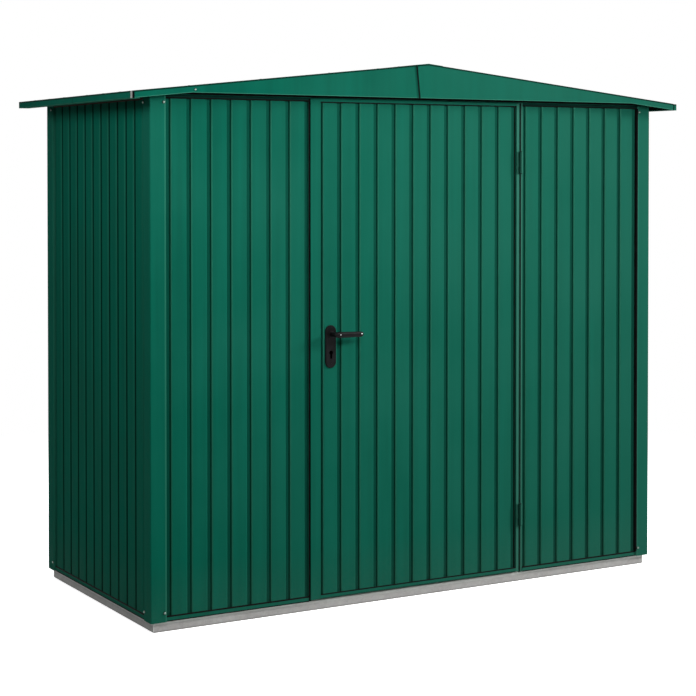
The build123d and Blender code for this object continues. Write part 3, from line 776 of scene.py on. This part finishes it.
# Lever set: swept black levers on their necks, a collar under each, and small screws. Along runs from the
# spindle towards the hinges, out from the plate's face.
leverSet = {
    "axis": (-420.0, 1089.0),
    "seats": {"outer": (-546.5, -1), "inner": (-503.5, 1)},  # plate's face and the way out of it
    "rings": (  # along, out, half height, half thickness, turn of the ring in degrees
        (0, -2.0, 9.0, 9.0, 0), (0, 20.0, 9.0, 9.0, 0), (0, 29.0, 9.2, 9.0, 0), (1.2, 35.0, 10.0, 8.8, 20),
        (4.6, 40.2, 11.2, 8.0, 45), (9.5, 43.0, 11.9, 7.0, 70), (16.0, 44.0, 12.0, 6.4, 88),
        (30.0, 44.0, 11.8, 6.0, 90), (55.0, 43.6, 11.4, 6.0, 90), (80.0, 43.4, 11.0, 6.0, 90),
        (99.0, 43.2, 10.8, 6.0, 92), (110.0, 42.6, 10.6, 5.9, 96), (116.0, 42.0, 9.8, 5.4, 100),
        (119.6, 41.4, 7.8, 4.4, 102), (121.0, 41.1, 4.4, 2.6, 102)),
    "ringSides": 24,
    "tipDrop": 1.6,   # the spring lets the lever hang a little below level
    "collar": ((9.35, 0), (13.0, 0), (13.0, 1.2), (12.2, 2.2), (10.4, 2.6), (9.35, 2.6), (9.35, 0)),
    "plateScrews": (25.0, -119.0),  # heights from the spindle
    "screwHead": ((0, 0), (3.6, 0), (3.4, 0.5), (2.0, 0.8), (1.4, 0.8), (0.9, 0.3), (0, 0.3)),
    # bright studs where the levers' highlights fall: painted highlight
    "studs": (((16.2, 49.6, 0.6), (0.2, 0.1)), ((111.8, 48.0, 0.4), (0.1, 0.1))),  # place, lean along and up
    "studHead": ((0, -0.4), (2.4, -0.4), (2.3, 0.3), (1.5, 0.8), (0, 0.9)),
}


def sweptLever(name, seat, outward):
    look = leverSet
    x, z = look["axis"]
    tip = look["rings"][-1][0]
    shape = bmesh.new()
    loops = []
    for along, out, high, thick, turnBy in look["rings"]:
        angle = math.radians(turnBy)
        onward = Vector((math.sin(angle), outward * math.cos(angle), 0))
        across = Vector((math.cos(angle), -outward * math.sin(angle), 0))
        drop = look["tipDrop"] * along / tip
        centre = Vector((x + along, seat + outward * out, z - drop)) * millimetre
        turn = Matrix((across * thick * millimetre, Vector((0, 0, high * millimetre)), onward)).transposed()
        ring = bmesh.ops.create_circle(shape, cap_ends=False, segments=look["ringSides"], radius=1.0,
                                       matrix=Matrix.Translation(centre) @ turn.to_4x4())["verts"]
        loops.append(list({edge for vert in ring for edge in vert.link_edges}))
    for near, far in zip(loops, loops[1:]):
        bmesh.ops.bridge_loops(shape, edges=near + far)
    for loop in (loops[0], loops[-1]):
        bmesh.ops.holes_fill(shape, edges=loop, sides=look["ringSides"])
    bmesh.ops.recalc_face_normals(shape, faces=shape.faces[:])
    return finishPiece(name, shape, "levers", "black_handle", black)


def leverParts():
    look = leverSet
    x, z = look["axis"]
    collars, screws, studs = [], [], []
    for name, (seat, outward) in look["seats"].items():
        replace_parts(sweptLever(name + "LeverGrip", seat, outward), name + "_lever")
        collars.append(((x, seat, z), (0, outward, 0)))
        screws += [((x, seat, z + height), (0, outward, 0)) for height in look["plateScrews"]]
        studs += [((x + along, seat + outward * out, z + up), (leanAlong, outward, leanUp))
                  for (along, out, up), (leanAlong, leanUp) in look["studs"]]
    setOut("leverCollars", turnedHead(look["collar"], 28), collars, "door", "black_handle", black)
    setOut("plateScrews", turnedHead(look["screwHead"], 16), screws, "door", "black_handle", black)
    setOut("gripHighlightStuds", turnedHead(look["studHead"], 14), studs, "levers", "galvanised_steel", highlightStud)


leverParts()
print("lever set")


# Hinges: pin heads and the screws of their plates.
hingeSet = {
    "pin": (490.5, -551.0),
    "heights": (287.0, 1767.0),
    "half": 45.0,
    "cap": ((0, 0), (6.4, 0), (6.2, 1.0), (4.6, 2.2), (2.0, 2.8), (0, 2.9)),
    "screwHead": ((0, 0), (3.1, 0), (2.9, 0.5), (1.6, 0.8), (1.1, 0.3), (0, 0.3)),
    "screwPlace": (505.5, -535.0),
    "screwSteps": (-31.0, 0.0, 31.0),  # from the hinge's middle height
}


def hingeParts():
    look = hingeSet
    ends = [((*look["pin"], height + way * look["half"]), (0, 0, way))
            for height in look["heights"] for way in (-1, 1)]
    setOut("hingePinHeads", turnedHead(look["cap"], 18), ends, "shed", "black_handle", rubberBlack)
    places = [((*look["screwPlace"], height + step), front)
              for height in look["heights"] for step in look["screwSteps"]]
    setOut("hingeScrews", turnedHead(look["screwHead"], 14), places, "shed", "galvanised_steel", platedHead)


hingeParts()
print("hinge details")


# Floor, backdrop and lamps, in metres.
studio = {
    "floorSize": 60.0,
    "floorTone": "#8c8c8a",
    "shadowDepth": 0.22,  # how much of the white the floor's shadow takes away
    "shadowNear": 2.2,    # from the middle, where the floor shows its full shadow
    "shadowFar": 4.5,     # where it has run out into plain white
    "skyLight": 0.176,
}
# place, target, size across and up, watts
lamps = {
    "keyLamp": ((7.4, -3.97, 4.1), (0.2, -0.54, 1.1), (1.7, 1.7), 650.0),    # low from the right
    "frontLamp": ((-0.2, -2.6, 2.35), (-0.2, -0.54, 1.7), (3.4, 0.7), 49.5),  # walls darken downwards
    "leftLamp": ((-2.7, -1.1, 2.6), (-1.19, -0.1, 1.9), (1.0, 0.6), 17.0),    # rims the ribs' near folds
    "backLamp": ((0.5, 4.6, 3.4), (0.2, 0.54, 1.0), (3.0, 1.6), 170.0),
}


def whiteToCamera(tree):
    # 1 for camera, glossy and transmission rays
    path = addNode(tree, "ShaderNodeLightPath")
    seen = maths(tree, "MAXIMUM", (path, "Is Camera Ray"), (path, "Is Glossy Ray"))
    return maths(tree, "MAXIMUM", seen, (path, "Is Transmission Ray"))


def mixShader(tree, factor, first, second):
    return addNode(tree, "ShaderNodeMixShader", {"Fac": factor, 1: (first, 0), 2: (second, 0)})


def makeFloor():
    material, tree, place = newMaterial("paleStudioFloor")
    reach = vectorMaths(tree, "LENGTH", place)
    near = between(tree, reach, studio["shadowNear"], studio["shadowFar"], 1.0, 0.0)
    near[0].interpolation_type = "SMOOTHSTEP"
    glow = maths(tree, "MULTIPLY_ADD", near, -studio["shadowDepth"], 1.0)
    emission = addNode(tree, "ShaderNodeEmission", {"Strength": glow})
    blank, matt, plain = (addNode(tree, "ShaderNodeBsdfDiffuse", {"Color": colour})
                          for colour in ((0, 0, 0, 1), (1, 1, 1, 1), linear(studio["floorTone"])))
    lit = mixShader(tree, near, blank, matt)
    shown = addNode(tree, "ShaderNodeAddShader", {0: (emission, 0), 1: (lit, 0)})
    both = mixShader(tree, whiteToCamera(tree), plain, shown)
    addNode(tree, "ShaderNodeOutputMaterial", {"Surface": (both, 0)})
    sheet = bmesh.new()
    bmesh.ops.create_grid(sheet, x_segments=8, y_segments=8, size=studio["floorSize"] / 2)
    mesh = bpy.data.meshes.new("studioFloor")
    sheet.to_mesh(mesh)
    sheet.free()
    floor = bpy.data.objects.new("studioFloor", mesh)
    mesh.materials.append(material)
    scene.collection.objects.link(floor)


def makeWorld():
    world = bpy.data.worlds.new("softStudio")
    scene.world = world
    world.use_nodes = True
    tree = world.node_tree
    tree.nodes.clear()
    light, white = (addNode(tree, "ShaderNodeBackground", {"Color": (1, 1, 1, 1), "Strength": strength})
                    for strength in (studio["skyLight"], 1.0))
    both = mixShader(tree, whiteToCamera(tree), light, white)
    addNode(tree, "ShaderNodeOutputWorld", {"Surface": (both, 0)})


def softLamp(name, place, target, size, watts):
    data = bpy.data.lights.new(name, "AREA")
    data.shape = "RECTANGLE"
    data.size, data.size_y = size
    data.energy = watts
    lamp = bpy.data.objects.new(name, data)
    scene.collection.objects.link(lamp)
    lamp.location = place
    lamp.rotation_euler = (Vector(target) - Vector(place)).to_track_quat("-Z", "Y").to_euler()
    lamp.visible_camera = False


makeFloor()
makeWorld()
for name, setting in lamps.items():
    softLamp(name, *setting)

# The camera, worked out from the photo's edges: its place in metres, its lens in millimetres.
cameraSet = {
    "place": (-3.805, -6.513, 1.728),
    "yaw": 30.119,     # degrees from straight on, seen from the left
    "pitch": -1.214,
    "lens": 90.316,
    "shift": -0.2,
}


def makeCamera():
    data = bpy.data.cameras.new("photoCamera")
    data.sensor_fit = "HORIZONTAL"
    data.sensor_width = 36.0
    data.lens = cameraSet["lens"]
    data.shift_y = cameraSet["shift"]
    data.clip_end = 200.0
    camera = bpy.data.objects.new("photoCamera", data)
    scene.collection.objects.link(camera)
    camera.location = cameraSet["place"]
    camera.rotation_euler = (math.radians(90 + cameraSet["pitch"]), 0, -math.radians(cameraSet["yaw"]))
    scene.camera = camera


makeCamera()
scene.view_settings.view_transform = "Standard"
print("studio ready")
